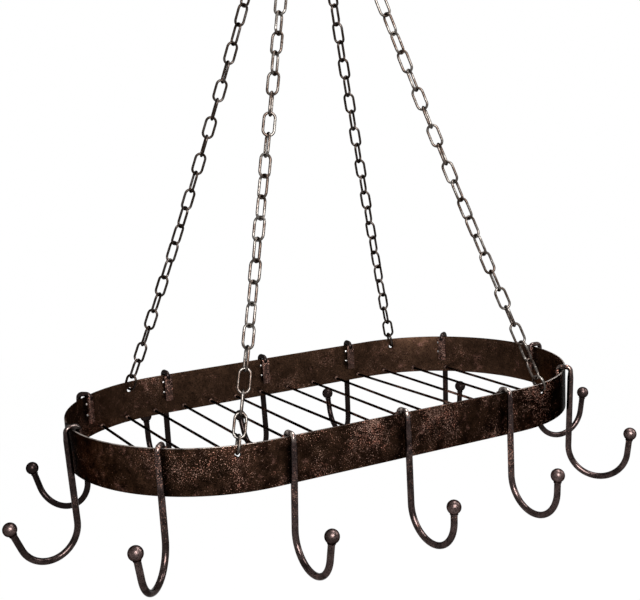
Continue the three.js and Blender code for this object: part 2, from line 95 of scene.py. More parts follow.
class RackSizes(bpy.types.PropertyGroup):
    band_length: length("Band Length", "Outside length of the oval", 0.818)
    band_width: length("Band Width", "Outside width of the oval", 0.438)
    band_height: length("Band Height", "Height of the flat bar", 0.065)
    band_wall: length("Band Wall", "Thickness of the flat bar", 0.003)
    straight: length("Straight Side", "Straight length of each long side", 0.4044)
    hole_x: length("Hole Place", "Each chain hole's distance from the middle", 0.2524)
    hole_drop: length("Hole Drop", "From the rim to a hole's centre", 0.013)
    hole_diameter: length("Hole Diameter", "Width of a chain hole", 0.008)
    wire_pitch: length("Wire Pitch", "From one grid wire to the next", 0.050)
    wire: length("Grid Wire", "Thickness of a grid wire", 0.0042)
    wire_drop: length("Grid Drop", "From the rim to the grid wires", 0.057)
    apex_height: length("Chain Height", "From the rim to where the chains meet", 0.865)
    link_wire: length("Link Wire", "Thickness of the chain's wire", 0.0039)
    link_width: length("Link Width", "Outside width of a link", 0.0192)
    link_pitch: length("Link Pitch", "From one link to the next", 0.0291)
    rod: length("Hook Rod", "Thickness of a pot hook's rod", 0.0096)
    ball: length("Hook Ball", "Diameter of the ball on a hook's tip", 0.020)
    shank: length("Hook Shank", "Straight length of a hook's shank", 0.131)
    bend: length("Hook Bend", "Radius of a hook's bend", 0.045)
    tip: length("Hook Tip", "From a hook's bend to its ball's centre", 0.032)
    sides: IntProperty(name="Bar Sides", description="Sides of a hook rod's section", default=20,
                       min=6, max=64)


class RackColours(bpy.types.PropertyGroup):
    coat: colour("Coat", "The band's dark bronze coat", "#1a100a")
    # lighter than the outside coat: a painted sheen of the studio on the inner face
    inner_coat_painted_sheen: colour("Lining", "The coat on the band's inner face", "#291c14")
    fleck: colour("Fleck", "Copper flecks in the coat", "#80655a")
    hook: colour("Hook", "The coat on the pot hooks", "#403533")
    chain: colour("Chain", "The chain's bronzed steel", "#4e423b")
    floor: colour("Floor", "The studio floor", "#f2f2f0")


def sizes():
    return bpy.context.scene.rack_sizes


# ---------------------------------------------------------------- how each piece was made
# name, side, place, turn, shank, lean, bend, tip lean, tip. Places are in hook spacings along the
# long sides and in degrees round the ends, shank, bend and tip are shares of the sizes above.
HOOK_SPACING = 180 * MM
SIDE_HOOKS = (
    ("front_left", -1, -0.996, 2.1, 0.969, 4.0, 0.993, 12.1, 1.082),
    ("front_middle", -1, -0.011, 4.4, 0.96, -0.8, 1.026, 1.3, 0.675),
    ("front_right", -1, 0.979, 3.1, 0.917, -0.6, 1.055, 3.0, 0.805),
    ("back_left", 1, -1.031, 2.8, 0.939, 1.1, 0.993, 6.1, 1.179),
    ("back_middle", 1, -0.035, 3.3, 0.972, 3.7, 0.992, 22.1, 0.879),
    ("back_right", 1, 0.921, -6.2, 0.995, -1.0, 0.994, 13.0, 0.877),
)
END_HOOKS = (
    ("left_front", -1, -48.5, 3.2, 0.906, 2.2, 1.039, 16.8, 1.295),
    ("left_tip", -1, -2.0, 6.4, 0.987, 2.5, 0.958, 23.0, 1.121),
    ("left_back", -1, 48.0, 1.8, 1.015, 1.4, 0.976, 19.4, 1.02),
    ("right_front", 1, -50.0, -4.3, 0.921, 2.0, 1.015, 7.3, 1.037),
    ("right_tip", 1, -2.4, -4.3, 0.893, 2.7, 1.004, 9.1, 1.015),
    ("right_back", 1, 48.8, -9.8, 1.006, 2.6, 1.005, 14.1, 0.881),
)
# corner, side along X, side along Y, foot turn in degrees, sag in mm, twist in degrees, and the
# twist's wave and phase in radians
CHAINS = (
    ("left_front", -1, -1, 0, 0.8, 48, 0.3, 5.5),
    ("left_back", -1, 1, 19, 7.7, 27, 0.3, 0.5),
    ("right_front", 1, -1, 0, 5.2, 36, 0.3, 3.75),
    ("right_back", 1, 1, 0, 6.3, 48, 0.11, 0.2),
)
# where each grid wire's front and back end is welded, in wire pitches beside its even place
WIRE_SHIFTS = ((0.06, -0.04), (0.11, -0.03), (0.17, -0.03), (0.13, -0.02), (0.04, 0),
               (0.14, -0.02), (0.03, -0.08), (0.27, -0.12), (0.03, -0.07), (0.07, -0.07),
               (0, -0.1), (0.3, -0.17), (0.04, -0.1), (0.05, -0.05), (-0.02, -0.09))
GRID_OFFSET = -8 * MM  # of the middle wire from the band's middle
SEAT = 0.3 * MM  # left between pieces that rest on each other
BAND_STEPS, BAND_ROUNDING = 72, 0.7 * MM
# a weld bead's radius and form in wire thicknesses, and how far it goes into the wall
BEAD_RADIUS, BEAD_FORM, BEAD_SINK = 0.95, (1.15, 0.62, 0.95), 0.9 * MM
BEAD_STRAY, WIRE_BOW = 0.4 * MM, 0.5 * MM  # from a wire's middle and from straight, at most

# the thinner rod that goes over the rim: in to its inner leg, out to the shank, its corners
ARCH_IN, ARCH_OUT, ARCH_CORNER, ARCH_ROD = 10 * MM, 9.6 * MM, 6.5 * MM, 7.6 * MM
ARCH_LEG = 5 * MM  # of the inner leg, down into the tongue
SHOULDER = 8 * MM  # radius at which the shank leans off the arch
SWELL, SWELL_STEPS = 10 * MM, 5
TONGUE, TONGUE_ROUNDING = Vector((4, 13, 42)) * MM, 0.55 * MM
PIN_DROPS = (10 * MM, 27 * MM)
PIN_RADIUS, PIN_LENGTH, PIN_ROUNDING = 1.7 * MM, 14.5 * MM, 0.7 * MM
PIN_OUT, PIN_SHIFT = 2.7 * MM, 2.25 * MM  # from the tongue's middle: outwards and along the band
NECK, BALL_BORE = 0.6 * MM, 6 * MM
# the ball's own short neck: its start below the ball, its width and flare as shares, its lengths
COLLAR_LOW, COLLAR_WIDTH, COLLAR_FLARE = 1.1 * MM, 1.04, 1.14
COLLAR_CONE, COLLAR_RIM = 0.7 * MM, 0.9 * MM

FOOT_WIRE, FOOT_INNER, FOOT_WIDTH = 4 * MM, 20 * MM, 22 * MM
FOOT_PLAY = 0.5 * MM  # between a foot link and the top of its hole, beside its seat
FOOT_REACH = 4  # links that take up the foot link's own turn
LINK_SHARE = 0.3 * MM  # of metal that neighbouring links have in common
FLAT = math.cos(math.pi / 8)  # the solids' wire is eight-sided: across its flats to its corners
RING_RADIUS, RING_WIRE = 20 * MM, 6 * MM
PEAR_WIRE, PEAR_HEIGHT, PEAR_SPREAD, PEAR_HALF = 5 * MM, 57 * MM, 18 * MM, 8.5 * MM
PEAR_TOP = RING_RADIUS - RING_WIRE / 2 - SEAT - PEAR_WIRE / 2  # under the ring's centre

PLATE_ROUNDING = 1.5 * MM
SCREW_RADIUS, SCREW_DOME, SCREW_PLACE, SCREW_SINK = 4.4 * MM, 0.42, 26 * MM, 1.45 * MM
EYE_WIRE, EYE_BEND, EYE_CENTRE, EYE_NECK = 7 * MM, 15 * MM, -41.5 * MM, -19 * MM
EYE_START, EYE_TURN = math.radians(126), math.radians(270)
ELBOW_BEFORE, ELBOW_BEND, ELBOW_RUN = 2 * MM, 6 * MM, 0.72  # the last is a share of the slant


# ---------------------------------------------------------------- mesh helpers
def to_mesh(name, bm):
    mesh = bpy.data.meshes.new(name)
    bm.to_mesh(mesh)
    bm.free()
    return mesh


def new_piece(name, bm, body, *nodes, slot=None, materials=(), crease=38):
    """Turns a bmesh into a piece with its place in its mesh, and hands it to its body."""
    bmesh.ops.recalc_face_normals(bm, faces=bm.faces)
    for face in bm.faces:
        face.smooth = True
    for edge in bm.edges:
        edge.smooth = edge.calc_face_angle(0) < math.radians(crease)
    mesh = to_mesh(name, bm)
    piece = bpy.data.objects.new(name, mesh)
    bpy.context.scene.collection.objects.link(piece)
    for material in materials:
        mesh.materials.append(material)
    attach(piece, body)
    if nodes:
        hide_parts(*nodes)
    return piece


def edges_between(edges, verts):
    """Those of edges that run from one of verts to another, in the order they came."""
    verts = set(verts)
    return [edge for edge in edges if verts.issuperset(edge.verts)]


def corners(bm):
    """The edges at which a piece turns a corner of more than a radian."""
    return [edge for edge in bm.edges if edge.calc_face_angle(0) > 1.0]


def round_off(bm, edges, radius, segments):
    bmesh.ops.bevel(bm, geom=edges, offset=radius, segments=segments, profile=0.5, affect="EDGES",
                    material=-1)


def push_out(bm, ring):
    """Extrudes a ring of edges where it stands. Gives back the new ring and its vertices."""
    made = bmesh.ops.extrude_edge_only(bm, edges=ring)["geom"]
    verts = [item for item in made if isinstance(item, BMVert)]
    return edges_between([item for item in made if isinstance(item, BMEdge)], verts), verts


def turn_to(heading):
    """The turn that takes +Z to heading."""
    return heading.to_track_quat("Z", "Y").to_matrix().to_4x4()


class Bar:
    """A round bar: a circle that is pushed along and bent, as a smith works a rod."""

    def __init__(self, bm, start, heading, radius, sides):
        self.bm = bm
        self.place = Vector(start)
        self.heading = Vector(heading).normalized()
        place = Matrix.Translation(self.place) @ turn_to(self.heading)
        made = bmesh.ops.create_circle(bm, cap_ends=False, segments=sides, radius=radius,
                                       matrix=place)
        self.first = self.ring = edges_between(bm.edges, made["verts"])

    def run(self, length, steps=1, grow=1.0):
        for _ in range(steps):
            self.ring, verts = push_out(self.bm, self.ring)
            move = self.heading * (length / steps)
            bmesh.ops.translate(self.bm, verts=verts, vec=move)
            self.place = self.place + move
            if grow != 1.0:
                bmesh.ops.scale(self.bm, verts=verts, vec=(grow, grow, grow),
                                space=Matrix.Translation(-self.place))
        return self

    def bend(self, radius, angle, axis, steps):
        axis = Vector(axis)
        centre = self.place + axis.cross(self.heading) * math.copysign(radius, angle)
        made = bmesh.ops.spin(self.bm, geom=self.ring, cent=centre, axis=axis, angle=angle,
                              steps=steps, use_merge=abs(angle) >= FULL, use_duplicate=False)
        self.ring = [item for item in made["geom_last"] if isinstance(item, BMEdge)]
        turn = Matrix.Rotation(angle, 3, axis)
        self.place = centre + turn @ (self.place - centre)
        self.heading = turn @ self.heading
        return self

    def cap(self):
        for ring in (self.first, self.ring):
            bmesh.ops.edgeloop_fill(self.bm, edges=ring)


def add_box(bm, size, middle, rounding):
    verts = bmesh.ops.create_cube(bm, size=1.0)["verts"]
    bmesh.ops.scale(bm, vec=size, verts=verts)
    bmesh.ops.translate(bm, vec=middle, verts=verts)
    round_off(bm, edges_between(bm.edges, verts), rounding, 2)


def add_pin(bm, radius, length, sides, middle):
    """A straight pin along Y."""
    verts = bmesh.ops.create_cone(bm, cap_ends=True, segments=sides, radius1=radius,
                                  radius2=radius, depth=length)["verts"]
    bmesh.ops.rotate(bm, verts=verts, cent=(0, 0, 0), matrix=Matrix.Rotation(QUARTER, 3, "X"))
    bmesh.ops.translate(bm, verts=verts, vec=middle)


def add_loop(bm, half_width, half_length, wire, sides, steps, spread=0.0):
    """An oblong wire loop in the XY plane, long along Y, from one bent bar closed on itself. spread
    moves its lower corners apart, which makes it a triangle."""
    straight = half_length - half_width
    bar = Bar(bm, (half_width, -straight, 0), ALONG_Y, wire / 2, sides)
    for _ in range(2):
        bar.run(2 * straight, 4).bend(half_width, HALF, UP, steps)
    bmesh.ops.remove_doubles(bm, verts=bm.verts, dist=1e-6)
    if spread:
        for vert in bm.verts:
            share = min(max((straight - vert.co.y) / (2 * straight), 0.0), 1.0)
            side = min(max(vert.co.x / (0.45 * half_width), -1.0), 1.0)
            vert.co.x += side * spread * share


def add_weld(bm, half_width, wire):
    """The seam in a link's straight side, a little thicker than its wire."""
    verts = bmesh.ops.create_icosphere(bm, subdivisions=2, radius=wire * 0.56)["verts"]
    bmesh.ops.scale(bm, verts=verts, vec=(1.0, 0.75, 1.0))
    bmesh.ops.translate(bm, verts=verts, vec=(half_width, 0, 0))


def foot_drop():
    """From the rim down to the wire of a foot link where it passes its hole."""
    size = sizes()
    return size.hole_drop - size.hole_diameter / 2 + FOOT_WIRE / 2 + SEAT + FOOT_PLAY


def loop_turn(along, across):
    """The turn that takes +Y to along and +X as near to across as it can."""
    y = Vector(along).normalized()
    z = Vector(across).cross(y).normalized()
    return Matrix((y.cross(z), y, z)).transposed().to_4x4()


def oval_place(angle):
    """A point on the oval's rounded end, square to X at angle 0, with its outward direction."""
    size = sizes()
    radius_x = (size.band_length - size.straight) / 2
    radius_y = size.band_width / 2
    x = size.straight / 2 + radius_x * math.cos(angle)
    y = radius_y * math.sin(angle)
    return x, y, math.atan2(radius_x * math.sin(angle), radius_y * math.cos(angle))


def oval_half_width(x, inset):
    """From the oval's long axis to its line at x, inset from its outside."""
    size = sizes()
    radius_x = (size.band_length - size.straight) / 2 - inset
    past = max(0.0, abs(x) - size.straight / 2) / radius_x
    return (size.band_width / 2 - inset) * math.sqrt(max(0.0, 1 - past * past))


# ---------------------------------------------------------------- materials
def node(tree, kind, inputs=None, stops=None, **fields):
    """Adds a node and gives back its outputs. inputs sets or joins its inputs by name or number,
    stops are a colour ramp's colours by place, and fields are the node's own settings."""
    made = tree.nodes.new(kind)
    for key, value in fields.items():
        setattr(made, key, value)
    for key, value in (inputs or {}).items():
        if isinstance(value, bpy.types.NodeSocket):
            tree.links.new(value, made.inputs[key])
        else:
            made.inputs[key].default_value = value
    for number, (place, tint) in enumerate((stops or {}).items()):
        made.color_ramp.elements[number].position = place
        made.color_ramp.elements[number].color = tint
    return made.outputs


def new_material(name):
    """An empty material, and node() for its tree."""
    material = bpy.data.materials.new(name)
    material.use_nodes = True
    material.node_tree.nodes.clear()
    return material, partial(node, material.node_tree)


def finish_with(add, shade, rough, height, depth, edge):
    """The last nodes that every metal finish shares. edge is how much shines at a glance."""
    relief = add("ShaderNodeBump", {"Strength": 1.0, "Distance": depth, "Height": height})[0]
    surface = add("ShaderNodeBsdfPrincipled", {
        "Metallic": 1.0, "Specular Tint": (edge, edge, edge, 1), "Base Color": shade,
        "Roughness": rough, "Normal": relief})[0]
    add("ShaderNodeOutputMaterial", {"Surface": surface})


def scaled(tint, share):
    return tuple(part * share for part in tint[:3]) + (1.0,)


FLAKE_SHINE = 2.7  # the flake catches more light than the colour chosen for it says
# the redder flakes, and the red of the usual fleck, against which they follow the chosen one
RED_FLAKE, RED_SHINE, USUAL_RED = "#865a4c", 2.0, 0.21
PRIMER = ("#2b1613", "#9a7064")
# the rim's steel, partly worn and partly a painted sheen, and the arches' painted glint
RIM_STEEL_AND_SHEEN, ARCH_GLINT = "#aaa19b", "#8f857f"


def speckled_coat(name, base, fleck, gather, gloss, blotch=0.0, mottle=1.0, relief=0.16, edge=0.25,
                  film=None, handled=False, shaded=False, smooth_below=None, worn_rim=False,
                  worn_arch=False):
    """Copper-vein powder coat with metal flake, sprayed and baked on mild steel. The eye sees a
    dark satin film with copper flecks in clusters a hand wide, black pin-holes, and a finer dust of
    copper between them. The real flake and grain are well under 1 mm, and are drawn 1 to 2 mm
    coarse, because that is what the render can show.

    gather is how many flecks there are, gloss the film's roughness, blotch how much red primer
    shows in rubbed spots, mottle how cloudy the film is, relief the depth of its grain in mm, edge
    how much shines at a glance, and film the painted light and shade towards
    the rack's left and right. handled takes flecks away towards the ends,
    shaded paints shade on the pieces at the back, smooth_below is the height under
    which pots rub it smooth, worn_rim rubs the rim through to steel and paints a sheen
    along its front, and worn_arch paints a glint on the front hooks' arches."""
    material, add = new_material(name)
    place = add("ShaderNodeTexCoord")["Object"]
    x, y, z = add("ShaderNodeSeparateXYZ", {"Vector": place})
    # each pattern's grain in mm, its detail and its roughness
    cluster, cloud, patch, tinge, arch_glint_patches, spot, dust = (
        add("ShaderNodeTexNoise", {"Vector": place, "Scale": 1 / (grain * MM), "Detail": detail,
                                   "Roughness": roughness})["Fac"]
        for grain, detail, roughness in (
            (75, 3.0, 0.55), (16, 4.0, 0.65), (24, 5.0, 0.7), (9, 3.0, 0.6), (6, 3.0, 0.6),
            (1.6, 2.0, 0.7), (1.1, 1.0, 0.6)))
    # how thickly flecks lie here, from the clusters and the clouds in them
    lie = add("ShaderNodeMath", {0: cloud, 1: 0.35, 2: gather - 0.73}, operation="MULTIPLY_ADD")[0]
    lie = add("ShaderNodeMath", {0: cluster, 1: 0.75, 2: lie}, operation="MULTIPLY_ADD")[0]
    height = add("ShaderNodeMath", {0: dust, 1: 0.5, 2: spot}, operation="MULTIPLY_ADD")[0]
    if smooth_below is not None:
        low = add("ShaderNodeMapRange", {"Value": z, "From Min": smooth_below + 25 * MM,
                                         "From Max": smooth_below - 15 * MM})[0]
        lie = add("ShaderNodeMath", {0: low, 1: -0.2, 2: lie}, operation="MULTIPLY_ADD")[0]
        left = add("ShaderNodeMath", {0: low, 1: -0.85, 2: 1.0}, operation="MULTIPLY_ADD")[0]
        height = add("ShaderNodeMath", {0: height, 1: left}, operation="MULTIPLY")[0]
    # fewer flecks towards both ends, so the band is darker there
    if handled:
        # the flecks are thickest 30 mm left of the middle
        off = add("ShaderNodeMath", {0: x, 1: 30 * MM}, operation="ADD")[0]
        off = add("ShaderNodeMath", {0: off}, operation="ABSOLUTE")[0]
        less = add("ShaderNodeMapRange", {"Value": off, "From Min": 110 * MM,
                                          "From Max": 330 * MM, "To Max": 0.06})[0]
        lie = add("ShaderNodeMath", {0: lie, 1: less}, operation="SUBTRACT")[0]
    # the film between the flecks
    cloudy = add("ShaderNodeValToRGB", {0: cloud}, stops={0.36: BLACK, 0.66: WHITE})[0]
    under = add("ShaderNodeMix", {0: cloudy, 6: scaled(base, 1 - 0.6 * mottle),
                                  7: scaled(base, 1 + 0.6 * mottle)}, data_type="RGBA")[2]
    # painted light and shade: the film is made lighter or darker from the rack's left to right
    if film:
        along = add("ShaderNodeMapRange", {"Value": x, "From Min": -400 * MM, "From Max": 400 * MM})
        light = add("ShaderNodeMix", {0: along[0], 6: scaled(WHITE, film[0]),
                                      7: scaled(WHITE, film[1])}, data_type="RGBA")[2]
        under = add("ShaderNodeMix", {0: 1.0, 6: under, 7: light}, data_type="RGBA",
                    blend_type="MULTIPLY")[2]
    # the flecks, some of them redder, with dust on them
    vein = add("ShaderNodeMath", {0: spot, 1: 1.3, 2: lie}, operation="MULTIPLY_ADD")[0]
    vein = add("ShaderNodeValToRGB", {0: vein}, stops={0.61: BLACK, 0.71: WHITE})[0]
    redder = add("ShaderNodeValToRGB", {0: tinge}, stops={0.42: BLACK, 0.62: WHITE})[0]
    flake = add("ShaderNodeMix", {
        0: redder, 6: scaled(fleck, FLAKE_SHINE),
        7: scaled(srgb(RED_FLAKE), fleck[0] / USUAL_RED * RED_SHINE)}, data_type="RGBA")[2]
    clean = add("ShaderNodeValToRGB", {0: dust}, stops={0.42: BLACK, 0.60: WHITE})[0]
    bright = add("ShaderNodeMix", {0: clean, 6: scaled(fleck, 0.35), 7: flake}, data_type="RGBA")[2]
    shade = add("ShaderNodeMix", {0: vein, 6: under, 7: bright}, data_type="RGBA")[2]
    if blotch:
        bare = add("ShaderNodeValToRGB", {0: patch}, stops={0.60: BLACK, 0.70: WHITE})[0]
        bare = add("ShaderNodeMath", {0: bare, 1: blotch}, operation="MULTIPLY")[0]
        dusty = add("ShaderNodeValToRGB", {0: dust}, stops={0.35: BLACK, 0.65: WHITE})[0]
        primer = add("ShaderNodeMix", {0: dusty, 6: srgb(PRIMER[0]), 7: srgb(PRIMER[1])},
                     data_type="RGBA")[2]
        shade = add("ShaderNodeMix", {0: bare, 6: shade, 7: primer}, data_type="RGBA")[2]
    # pin-holes in the film
    whole = add("ShaderNodeValToRGB", {0: dust}, stops={0.40: BLACK, 0.47: WHITE})[0]
    shade = add("ShaderNodeMix", {0: whole, 6: scaled(base, 0.2), 7: shade}, data_type="RGBA")[2]
    # rim worn to steel with a painted sheen, and a painted glint on the arches: a pattern with its
    # two stops, the colour, and the limits between which it grows from its least share to all
    wear_and_glints = []
    # worn steel with a painted sheen along the rim's top edge, at its front
    if worn_rim:
        aside = add("ShaderNodeMath", {0: x}, operation="ABSOLUTE")[0]
        wear_and_glints.append((cloud, 0.30, 0.52, RIM_STEEL_AND_SHEEN, (
            (z, RIM_Z - 0.5 * MM, RIM_Z - 0.1 * MM, 0.0), (y, 60 * MM, -20 * MM, 0.0),
            (aside, 120 * MM, 300 * MM, 0.12))))
    # a painted glint on the arches over the rim, strongest on the front hooks
    if worn_arch:
        wear_and_glints.append((arch_glint_patches, 0.44, 0.56, ARCH_GLINT, (
            (z, RIM_Z - 6 * MM, RIM_Z + 2 * MM, 0.0), (y, -180 * MM, -212 * MM, 0.2))))
    for pattern, least, most, steel, limits in wear_and_glints:
        worn = add("ShaderNodeValToRGB", {0: pattern}, stops={least: BLACK, most: WHITE})[0]
        for value, start, end, share in limits:
            part = add("ShaderNodeMapRange", {"Value": value, "From Min": start, "From Max": end,
                                              "To Min": share})[0]
            worn = add("ShaderNodeMath", {0: worn, 1: part}, operation="MULTIPLY")[0]
        shade = add("ShaderNodeMix", {0: worn, 6: shade, 7: srgb(steel)}, data_type="RGBA")[2]
    # painted shade: the hooks and balls are blackened towards the back
    if shaded:
        back = add("ShaderNodeMapRange", {"Value": y, "From Min": -120 * MM, "From Max": 180 * MM,
                                          "To Max": 0.92})[0]
        shade = add("ShaderNodeMix", {0: back, 6: shade, 7: scaled(base, 0.16)},
                    data_type="RGBA")[2]
    rough = add("ShaderNodeMapRange", {"Value": vein, "To Min": gloss, "To Max": gloss + 0.08})[0]
    finish_with(add, shade, rough, height, relief * MM, edge)
    return material


def worn_chain(name, base, bare, rub):
    """Bronzed mild steel chain, bent from drawn wire, butt-welded and tumbled. The eye sees brown
    patches as long as half a link between brighter steel with a smooth, narrow shine. rub is how
    much of the bronzing has gone."""
    material, add = new_material(name)
    place = add("ShaderNodeTexCoord")["Object"]
    patch, scuff = (
        add("ShaderNodeTexNoise", {"Vector": place, "Scale": 1 / (grain * MM), "Detail": detail,
                                   "Roughness": roughness})["Fac"]
        for grain, detail, roughness in ((18, 4.0, 0.65), (2.5, 3.0, 0.6)))
    clean = add("ShaderNodeValToRGB", {0: scuff}, stops={0.36: BLACK, 0.64: WHITE})[0]
    brown, steel = (
        add("ShaderNodeMix", {0: clean, 6: low, 7: high}, data_type="RGBA")[2]
        for low, high in ((scaled(base, 0.45), base), (scaled(bare, 0.85), scaled(bare, 1.1))))
    worn = add("ShaderNodeMath", {0: patch, 1: rub}, operation="ADD")[0]
    worn = add("ShaderNodeValToRGB", {0: worn}, stops={0.46: BLACK, 0.66: WHITE})[0]
    shade = add("ShaderNodeMix", {0: worn, 6: brown, 7: steel}, data_type="RGBA")[2]
    rough = add("ShaderNodeMapRange", {"Value": worn, "To Min": 0.34, "To Max": 0.28})[0]
    finish_with(add, shade, rough, scuff, 0.01 * MM, 0.02)
    return material


def bare_steel(name, low, high, gloss):
    """Bare mild steel left by a weld or a cut and wire-brushed. The eye sees grey metal, duller
    where scale 2 mm wide is left in its low spots."""
    material, add = new_material(name)
    place = add("ShaderNodeTexCoord")["Object"]
    scale = add("ShaderNodeTexNoise", {"Vector": place, "Scale": 1 / (2.2 * MM),
                                       "Detail": 3.0})["Fac"]
    shade = add("ShaderNodeValToRGB", {0: scale}, stops={0.38: srgb(low), 0.60: srgb(high)})[0]
    rough = add("ShaderNodeMapRange", {"Value": scale, "To Min": gloss + 0.2, "To Max": gloss})[0]
    finish_with(add, shade, rough, scale, 0.1 * MM, 0.5)
    return material


FINISHES = {}


def finish(name):
    """The object's finishes, each made once, when a piece first asks for it."""
    if name in FINISHES:
        return FINISHES[name]
    tint = bpy.context.scene.rack_colours
    # the material's name, its colours, how many flecks, its roughness, and what sets it apart
    coats = {
        # painted light and shade: outside lighter at left, darker at right; inside lighter at right
        "band outside": ("outside", tint.coat, tint.fleck, 0.0, 0.40, {
            "blotch": 0.5, "worn_rim": True, "handled": True, "film": (2.5, 0.6)}),
        # the inner face's coat is lighter by a painted sheen
        "band inside": ("inside", tint.inner_coat_painted_sheen, scaled(tint.fleck, 0.6), -0.03, 0.42, {
            "blotch": 0.5, "mottle": 0.55, "film": (1.2, 1.9)}),
        "hook coat": ("hooks", tint.hook, scaled(tint.fleck, 1.1), 0.0, 0.2, {
            "blotch": 0.3, "shaded": True, "edge": 0.5, "relief": 0.1,
            "smooth_below": RIM_Z - 125 * MM, "worn_arch": True}),
        "tongue coat": ("tongues", srgb("#46352f"), srgb("#93756a"), 0.05, 0.36, {"blotch": 0.5}),
        "ball coat": ("balls", scaled(tint.hook, 1.5), tint.fleck, -0.2, 0.33, {
            "shaded": True, "edge": 0.1, "relief": 0.05}),
        "wire coat": ("wires", scaled(tint.coat, 1.1), tint.fleck, -0.03, 0.36, {}),
        "fitting coat": ("fittings", tint.coat, tint.fleck, 0.0, 0.38, {}),
    }
    metals = {
        # painted light and shade: a paler copy for the front chains, a darker one for the back
        "chain": (worn_chain, "bronzed_steel_chain", scaled(tint.chain, 0.4), srgb("#4d4643"),
                  -0.03),
        "front chain painted lit": (worn_chain, "bronzed_steel_chain_rubbed", scaled(tint.chain, 0.8),
                         srgb("#625e5a"), 0.03),
        "weld": (bare_steel, "weld_bead_steel", "#1c1411", "#4a3932", 0.45),
        "pin": (bare_steel, "brushed_pin_steel", "#8d8884", "#d8d6d4", 0.18),
    }
    if name in coats:
        where, *numbers, apart = coats[name]
        made = speckled_coat("copper_vein_coat_" + where, *numbers, **apart)
    else:
        maker, *numbers = metals[name]
        made = maker(*numbers)
    FINISHES[name] = made
    return made


# ---------------------------------------------------------------- pieces
class POTRACK_OT_band(bpy.types.Operator):
    """Bends the flat bar into the oval band and drills its chain holes"""
    bl_idname = "potrack.band"
    bl_label = "Band"

    def execute(self, context):
        size = sizes()
        half = size.straight / 2
        radius = size.band_width / 2
        squeeze = (size.band_length / 2 - half) / radius
        # the bar's section, at the front right corner
        bm = bmesh.new()
        verts = bmesh.ops.create_grid(bm, x_segments=1, y_segments=1, size=0.5)["verts"]
        bmesh.ops.rotate(bm, verts=verts, cent=(0, 0, 0), matrix=Matrix.Rotation(QUARTER, 3, "Y"))
        bmesh.ops.scale(bm, verts=verts, vec=(1, size.band_wall, size.band_height))
        bmesh.ops.translate(bm, verts=verts, vec=(half, -radius + size.band_wall / 2,
                                                  RIM_Z - size.band_height / 2))
        bmesh.ops.delete(bm, geom=list(bm.faces), context="FACES_ONLY")
        ring = list(bm.edges)
        for side in (1, -1):
            old = set(bm.verts) - {vert for edge in ring for vert in edge.verts}
            made = bmesh.ops.spin(bm, geom=ring, cent=(side * half, 0, 0), axis=UP, angle=HALF,
                                  steps=BAND_STEPS)
            ring = [item for item in made["geom_last"] if isinstance(item, BMEdge)]
            bmesh.ops.scale(bm, verts=[vert for vert in bm.verts if vert not in old],
                            vec=(squeeze, 1, 1), space=Matrix.Translation((-side * half, 0, 0)))
            ring, verts = push_out(bm, ring)
            bmesh.ops.translate(bm, verts=verts, vec=(-side * size.straight, 0, 0))
        bmesh.ops.remove_doubles(bm, verts=bm.verts, dist=1e-6)
        bmesh.ops.recalc_face_normals(bm, faces=bm.faces)
        round_off(bm, corners(bm), BAND_ROUNDING, 3)
        for face in bm.faces:
            middle = face.calc_center_median()
            spine = Vector((max(-half, min(half, middle.x)), 0, middle.z))
            face.material_index = 1 if face.normal.dot(middle - spine) < 0 else 0
        piece = new_piece("oval_band", bm, "rack", "band", slot="band_iron", crease=30,
                          materials=[finish("band outside"), finish("band inside")])
        self.drill(piece, context)
        return {"FINISHED"}

    def drill(self, piece, context):
        size = sizes()
        bm = bmesh.new()
        for x in (-size.hole_x, size.hole_x):
            add_pin(bm, size.hole_diameter / 2, 2 * size.band_width, 32,
                    (x, 0, RIM_Z - size.hole_drop))
        cutter = bpy.data.objects.new("chain_hole_drill", to_mesh("chain_hole_drill", bm))
        context.scene.collection.objects.link(cutter)
        cut = piece.modifiers.new("Chain Holes", "BOOLEAN")
        cut.operation = "DIFFERENCE"
        cut.solver = "EXACT"
        cut.object = cutter
        drilled = piece.evaluated_get(context.evaluated_depsgraph_get())
        drilled = bpy.data.meshes.new_from_object(drilled)
        piece.modifiers.clear()
        piece.data = drilled
        bpy.data.objects.remove(cutter)
        if len(drilled.polygons) < 4 * 2 * BAND_STEPS:
            raise RuntimeError("The band lost its walls when it was drilled")


class POTRACK_OT_grid(bpy.types.Operator):
    """Coats the grid wires and lays a weld bead at each of their ends"""
    bl_idname = "potrack.grid"
    bl_label = "Wire Grid"

    def execute(self, context):
        size = sizes()
        z = RIM_Z - size.wire_drop
        beads = bmesh.new()
        for number, shifts in enumerate(WIRE_SHIFTS):
            x = GRID_OFFSET + size.wire_pitch * (number - (len(WIRE_SHIFTS) - 1) / 2)
            ends = []
            for side, shift in zip((-1, 1), shifts):
                end_x = x + shift * size.wire_pitch
                wall = oval_half_width(abs(end_x) + size.wire / 2, size.band_wall)
                ends.append(Vector((end_x, side * (wall - SEAT), z)))
                # no bead sits quite in the middle of its wire
                bead_x = end_x + BEAD_STRAY * math.sin(5.1 * number)
                verts = bmesh.ops.create_icosphere(beads, subdivisions=3,
                                                   radius=size.wire * BEAD_RADIUS)["verts"]
                bmesh.ops.scale(beads, verts=verts, vec=BEAD_FORM)
                bmesh.ops.translate(beads, verts=verts,
                                    vec=(bead_x, side * (wall - BEAD_SINK), z))
            bm = bmesh.new()
            span = ends[1] - ends[0]
            Bar(bm, ends[0], span, size.wire / 2, 14).run(span.length, 24).cap()
            # each wire is drawn a little crooked by its welds
            bow = WIRE_BOW * math.sin(2.3 * number + 0.6)
            for vert in bm.verts:
                share = (vert.co.y - ends[0].y) / span.y
                vert.co.z += (bow - abs(bow) * 0.5) * math.sin(math.pi * share)
            name = "%02d" % (number + 1)
            new_piece("wire_" + name, bm, "rack", "grid_wire_" + name, slot="wire_iron",
                      materials=[finish("wire coat")])
        new_piece("grid_weld_beads", beads, "rack", slot="wire_iron", materials=[finish("weld")])
        return {"FINISHED"}


